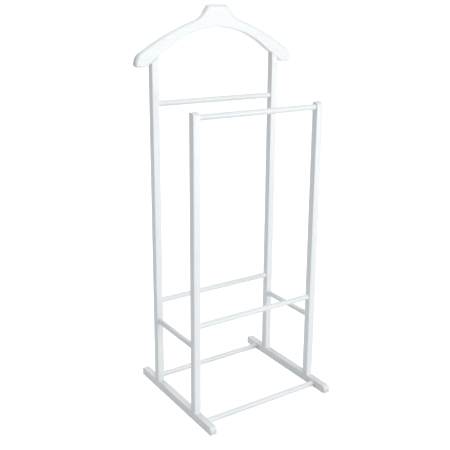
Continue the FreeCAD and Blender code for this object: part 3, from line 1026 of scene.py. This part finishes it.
    def tongue_cuts(self, side: Side) -> list[Shell]:
        """What makes a rear post's top into a tongue: the lap in front of it and its screw holes.

        Args:
            side: The post's side.

        Returns:
            The lap, then the screw holes.
        """
        low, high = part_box(f"rear_{side.word}_post")
        over = JOINERY.over
        left, right = low.x - over, high.x + over
        heights = [self.underside(abs(place)) - JOINERY.lap_gap for place in (left, right)]
        lap = block(
            (left, low.y - over, heights[0]),
            (right, self.lap_plane(), high.z + over),
            heights[0] - heights[1],
        )
        hole, head = JOINERY.screw_hole / 2, JOINERY.screw_head / 2 + JOINERY.glue_gap
        deep = JOINERY.head_deep
        slant = (head - hole) / deep
        profile = [(head + slant * over, -over), (hole, deep), (hole, JOINERY.tongue_thick + over)]
        middle, heights = (low.x + high.x) / 2, self.screw_heights(side)
        holes = [turned(profile).placed(Vector((middle, high.y, up)), (0, -1, 0)) for up in heights]
        return [lap, *holes]

    def cuts(self) -> list[Shell]:
        """The two housings for the posts' tongues, from behind."""
        low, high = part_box(self.node)
        shapes = []
        for side in Side:
            post_low, post_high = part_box(f"rear_{side.word}_post")
            gap = JOINERY.lap_gap
            shapes.append(
                block(
                    (post_low.x - gap, self.lap_plane() - gap, low.z - JOINERY.over),
                    (post_high.x + gap, high.y + JOINERY.over, post_high.z + gap),
                )
            )
        return shapes

    def build(self, material: bpy.types.Material) -> None:
        """Make the hanger."""
        finished(self.node, self.shell(), material, (self.cuts(),))


@dataclass(frozen=True)
class WoodScrew:
    """A wood screw with a cross recess and a rolled thread.

    Attributes:
        length: Head face to point.
        countersunk: True for a flat countersunk head, False for a pan head.
        pitch: The thread's pitch.
        root: Radius at the bottom of the thread.
        recess_long: Half the length of a slot of the cross.
        recess_wide: Half its width.
        recess_deep: Its depth.
        point: Length of the point.
    """

    length: float
    countersunk: bool
    pitch: float = 1.8 * MM
    root: float = 1.35 * MM
    recess_long: float = 2.3 * MM
    recess_wide: float = 0.5 * MM
    recess_deep: float = 1.5 * MM
    point: float = 6.0 * MM

    def cross(self, across: np.ndarray, up: np.ndarray) -> np.ndarray:
        """Depth of the recess over the head: the deeper of two slots with steep walls.

        Args:
            across: X of each point.
            up: Y of each point.

        Returns:
            The depth at each point.
        """
        wall = 0.3 * MM

        def slot(run: np.ndarray, side: np.ndarray) -> np.ndarray:
            """Depth of a slot that lies along one axis."""
            wide = np.clip((self.recess_wide + wall - abs(side)) / wall, 0, 1)
            long = np.clip((self.recess_long - abs(run)) / (self.recess_long * 0.6), 0, 1)
            return self.recess_deep * wide * long

        return np.maximum(slot(across, up), slot(up, across))

    def shell(self) -> Shell:
        """The screw, its head face at the origin and its point along +Z.

        The head's face is a disc whose height is the recess's depth; below the head the radius is
        root + (crest - root) * peak(h / pitch - t / 2 pi), where peak is a narrow triangle once a turn.
        """
        columns = 48
        turn = np.linspace(0, 2 * math.pi, columns, endpoint=False)[None]
        head, crest, deep = JOINERY.screw_head / 2, JOINERY.screw_wide / 2, JOINERY.head_deep
        disc = np.linspace(0, 0.94 * head, 18)[:, None]
        face = self.cross(disc * np.cos(turn), disc * np.sin(turn))
        if self.countersunk:
            rim = np.array([[head, 0.15 * MM], [head, 0.4 * MM], [crest, deep]])
        else:
            face = face + 0.12 * head * (disc / head) ** 2
            rim = np.array([[head, 0.35 * deep], [head, deep - 0.1 * MM], [0.97 * head, deep], [crest, deep]])
        start, rows = deep + 0.05 * MM, 8
        count = int((self.length - start) / self.pitch * rows)
        height = np.linspace(start, self.length, count)[:, None]
        phase = np.mod(height / self.pitch - turn / (2 * math.pi), 1.0)
        peak = np.clip(1 - np.abs(2 * phase - 1) / 0.55, 0, 1)
        taper = np.clip((self.length - height) / self.point, 0, 1)
        shank = (self.root + (crest - self.root) * peak) * taper
        radius = [np.broadcast_to(disc, (len(disc), columns)), np.repeat(rim[:, :1], columns, 1), shank]
        level = [face, np.repeat(rim[:, 1:], columns, 1), np.broadcast_to(height, (count, columns))]
        return wound(np.concatenate(radius), np.concatenate(level), columns)


@dataclass(frozen=True)
class Dowel:
    """A fluted dowel: r = radius - flute * |sin(flutes * t / 2)| to a power, with bevelled ends."""

    radius: float = 3.0 * MM
    length: float = 30.0 * MM
    flutes: int = 14
    flute: float = 0.25 * MM
    bevel: float = 1.0 * MM

    def shell(self) -> Shell:
        """The dowel, centred on the origin along Z."""
        columns, half = self.flutes * 8, self.length / 2
        turn = np.linspace(0, 2 * math.pi, columns, endpoint=False)[None]
        groove = self.flute * np.abs(np.sin(self.flutes * turn / 2)) ** 3
        body = self.radius - groove
        rows = [(0 * body, -half), (body - self.bevel, -half), (body, self.bevel - half)]
        rows += [(body, half - self.bevel), (body - self.bevel, half), (0 * body, half)]
        radius = np.concatenate([part for part, _ in rows])
        height = np.array([[level] * columns for _, level in rows])
        return wound(radius, height, columns)


@dataclass(frozen=True)
class Fixings:
    """Screws and dowels, each kind one piece of several."""

    runner_screw: float = 42.0 * MM
    hanger_screw: float = 16.0 * MM

    def build(self, hanger: ShoulderHanger, steel: bpy.types.Material, beech: bpy.types.Material) -> None:
        """Make the screws and the dowels.

        Args:
            hanger: The hanger, which says where its screws are.
            steel: The screws' material.
            beech: The dowels' material.
        """
        upright = WoodScrew(self.runner_screw, False).shell()
        sunk = WoodScrew(self.hanger_screw, True).shell()
        dowel = Dowel().shell()
        head_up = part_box("runner_screws")[0].z
        dowel_up = middle_of("runner_dowels").z
        runner_screws, dowels, hanger_screws = [], [], []
        for side in Side:
            for end in End:
                post = post_middle(side, end)
                offset = end.value * JOINERY.fix_offset
                runner_screws.append(upright.placed(Vector((post.x, post.y + offset, head_up)), (0, 0, 1)))
                dowels.append(dowel.placed(Vector((post.x, post.y - offset, dowel_up)), (0, 0, 1)))
            middle, back = post_middle(side, End.REAR).x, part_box(f"rear_{side.word}_post")[1].y
            for up in hanger.screw_heights(side):
                hanger_screws.append(sunk.placed(Vector((middle, back, up)), (0, -1, 0)))
        finished("runner_screws", joined(runner_screws), steel)
        finished("hanger_screws", joined(hanger_screws), steel)
        finished("runner_dowels", joined(dowels), beech)


@dataclass(frozen=True)
class FeltPad:
    """A felt disc under a runner's end.

    Attributes:
        side: The side it is on.
        end: The end it is at.
        rim: Rounding of its rim.
    """

    side: Side
    end: End
    rim: float = 0.5 * MM

    def build(self, material: bpy.types.Material) -> None:
        """Make the pad.

        Args:
            material: The felt.
        """
        node = f"{self.end.word}_{self.side.word}_pad"
        low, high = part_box(node)
        wide, thick = (high.x - low.x) / 2, high.z - low.z
        turn = np.linspace(0, QUARTER, 5)
        lower = [(wide - self.rim * (1 - math.sin(part)), self.rim * (1 - math.cos(part))) for part in turn]
        upper = [(radius, thick - height) for radius, height in reversed(lower)]
        middle = (low + high) / 2
        shell = turned([*lower, *upper], 64).placed(Vector((middle.x, middle.y, low.z)), (0, 0, 1))
        finished(node, shell, material)


# Studio


@dataclass(frozen=True)
class Softbox:
    """A square soft light that points at the middle of the stand.

    Attributes:
        name: What it is for.
        turn: Degrees round from the front towards the right.
        lift: Degrees above the horizon.
        distance: Distance from the middle.
        wide: Its width.
        power: Its power in watts.
    """

    name: str
    turn: float
    lift: float
    distance: float
    wide: float
    power: float

    def place(self, middle: Vector) -> None:
        """Put the light in the scene.

        Args:
            middle: What it points at.
        """
        turn, lift = math.radians(self.turn), math.radians(self.lift)
        way = Vector((math.sin(turn) * math.cos(lift), -math.cos(turn) * math.cos(lift), math.sin(lift)))
        lamp = bpy.data.lights.new(self.name, "AREA")
        lamp.shape = "SQUARE"
        lamp.size = self.wide
        lamp.energy = self.power
        box = bpy.data.objects.new(self.name, lamp)
        box.location = middle + way * self.distance
        box.rotation_euler = (-way).to_track_quat("-Z", "Y").to_euler()
        bpy.context.scene.collection.objects.link(box)


@dataclass(frozen=True)
class Studio:
    """A white floor in a white room, with soft lights ahead, above the front and behind.

    Attributes:
        floor_wide: Width of the floor.
        floor: Its colour.
        glow: Light that the floor shows of its own, as a lit table does.
        sky: Light from the room.
        backdrop: How bright the room itself looks.
        room: Colour of the room's light.
        lights: The soft lights.
        middle: Height that they point at.
        camera_at: Where the camera is.
        camera_turn: Its turn round Z.
        camera_down: How far down it looks.
        camera_roll: Its roll.
        lens: Its focal length in millimetres.
        shift_up: How far its frame is moved up, as a share of the frame's width.
    """

    floor_wide: float = 60.0
    floor: str = "#aeaeae"
    glow: float = 0.95
    sky: float = 0.52
    backdrop: float = 1.1
    room: str = "#fafcff"
    lights: tuple[Softbox, ...] = (
        Softbox("key", turn=26, lift=8, distance=3.0, wide=1.6, power=35),
        Softbox("front_top", turn=0, lift=60, distance=3.0, wide=1.6, power=17),
        Softbox("rear_light", turn=170, lift=40, distance=3.0, wide=1.6, power=24),
    )
    middle: float = 0.55
    camera_at: tuple[float, float, float] = (-1.0383, -1.5218, 1.0555)
    camera_turn: float = math.radians(-33.39)
    camera_down: float = math.radians(15.22)
    camera_roll: float = math.radians(0.37)
    lens: float = 56.9
    shift_up: float = -0.06

    def lay_floor(self) -> None:
        """A plain white floor, which lights the stand only with what falls on it."""
        half = self.floor_wide / 2
        corners = [(-half, -half, 0), (half, -half, 0), (half, half, 0), (-half, half, 0)]
        mesh = bpy.data.meshes.new("floor")
        mesh.from_pydata(corners, [], [(0, 1, 2, 3)])
        floor = bpy.data.objects.new("floor", mesh)
        bpy.context.scene.collection.objects.link(floor)
        material, tree = new_material("white_floor")
        bounced = add_node(tree, "LightPath", {}).outputs["Is Diffuse Ray"]
        glow = add_node(tree, "Mix", {0: bounced, 2: self.glow, 3: 0.0}, data_type="FLOAT")
        surfaced(
            tree,
            {
                "Base Color": linear(self.floor),
                "Roughness": 0.9,
                "Emission Color": (1.0, 1.0, 1.0, 1.0),
                "Emission Strength": glow.outputs[0],
            },
        )
        mesh.materials.append(material)

    def light(self) -> None:
        """The room, which the camera sees as plain white, and the soft lights."""
        world = bpy.data.worlds.new("studio")
        bpy.context.scene.world = world
        world.use_nodes = True
        tree = world.node_tree
        tree.nodes.clear()
        seen = add_node(tree, "LightPath", {}).outputs["Is Camera Ray"]
        strength = add_node(tree, "Mix", {0: seen, 2: self.sky, 3: self.backdrop}, data_type="FLOAT")
        shader = add_node(tree, "Background", {"Color": linear(self.room), "Strength": strength.outputs[0]})
        add_node(tree, "OutputWorld", {"Surface": shader.outputs[0]})
        for softbox in self.lights:
            softbox.place(Vector((0, 0, self.middle)))

    def set_camera(self) -> None:
        """The camera, ahead and to the left of the stand, looking down on it."""
        data = bpy.data.cameras.new("camera")
        data.sensor_width = 36.0
        data.lens = self.lens
        data.shift_y = self.shift_up
        camera = bpy.data.objects.new("camera", data)
        turn = Matrix.Rotation(self.camera_turn, 4, "Z")
        tilt = Matrix.Rotation(QUARTER - self.camera_down, 4, "X")
        roll = Matrix.Rotation(self.camera_roll, 4, "Z")
        camera.matrix_world = Matrix.Translation(Vector(self.camera_at)) @ turn @ tilt @ roll
        bpy.context.scene.collection.objects.link(camera)
        bpy.context.scene.camera = camera

    def build(self) -> None:
        """Set up the floor, the light, the camera and a plain tone curve."""
        self.lay_floor()
        self.light()
        self.set_camera()
        bpy.context.scene.view_settings.view_transform = "Standard"


def main() -> None:
    """Build the stand's pieces in order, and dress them."""
    logging.basicConfig(level=logging.INFO, format="%(message)s")
    lacquer = {grain: SatinLacquer().material(grain) for grain in Grain}
    hanger = ShoulderHanger()
    hanger.build(lacquer[Grain.ACROSS])
    for side in Side:
        Runner(side).build(lacquer[Grain.DEEP])
        for end in End:
            Post(side, end).build(hanger, lacquer[Grain.UP])
    inner = 2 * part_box("rear_right_post")[0].x
    for node in (
        "upper_rear_rung",
        "trouser_bar",
        "rear_middle_rung",
        "front_middle_rung",
        "rear_bottom_rung",
        "front_bottom_rung",
    ):
        Rung(node, 0).build(inner, lacquer[Grain.ACROSS])
    through = 2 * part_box("rear_right_post")[0].y
    for side in Side:
        Rung(f"{side.word}_side_rung", 1).build(through, lacquer[Grain.DEEP])
    Fixings().build(hanger, ZincSteel().material(), BareBeech().material())
    felt = PressedFelt().material()
    for side in Side:
        for end in End:
            FeltPad(side, end).build(felt)
    Studio().build()


if __name__ == "__main__":
    main()
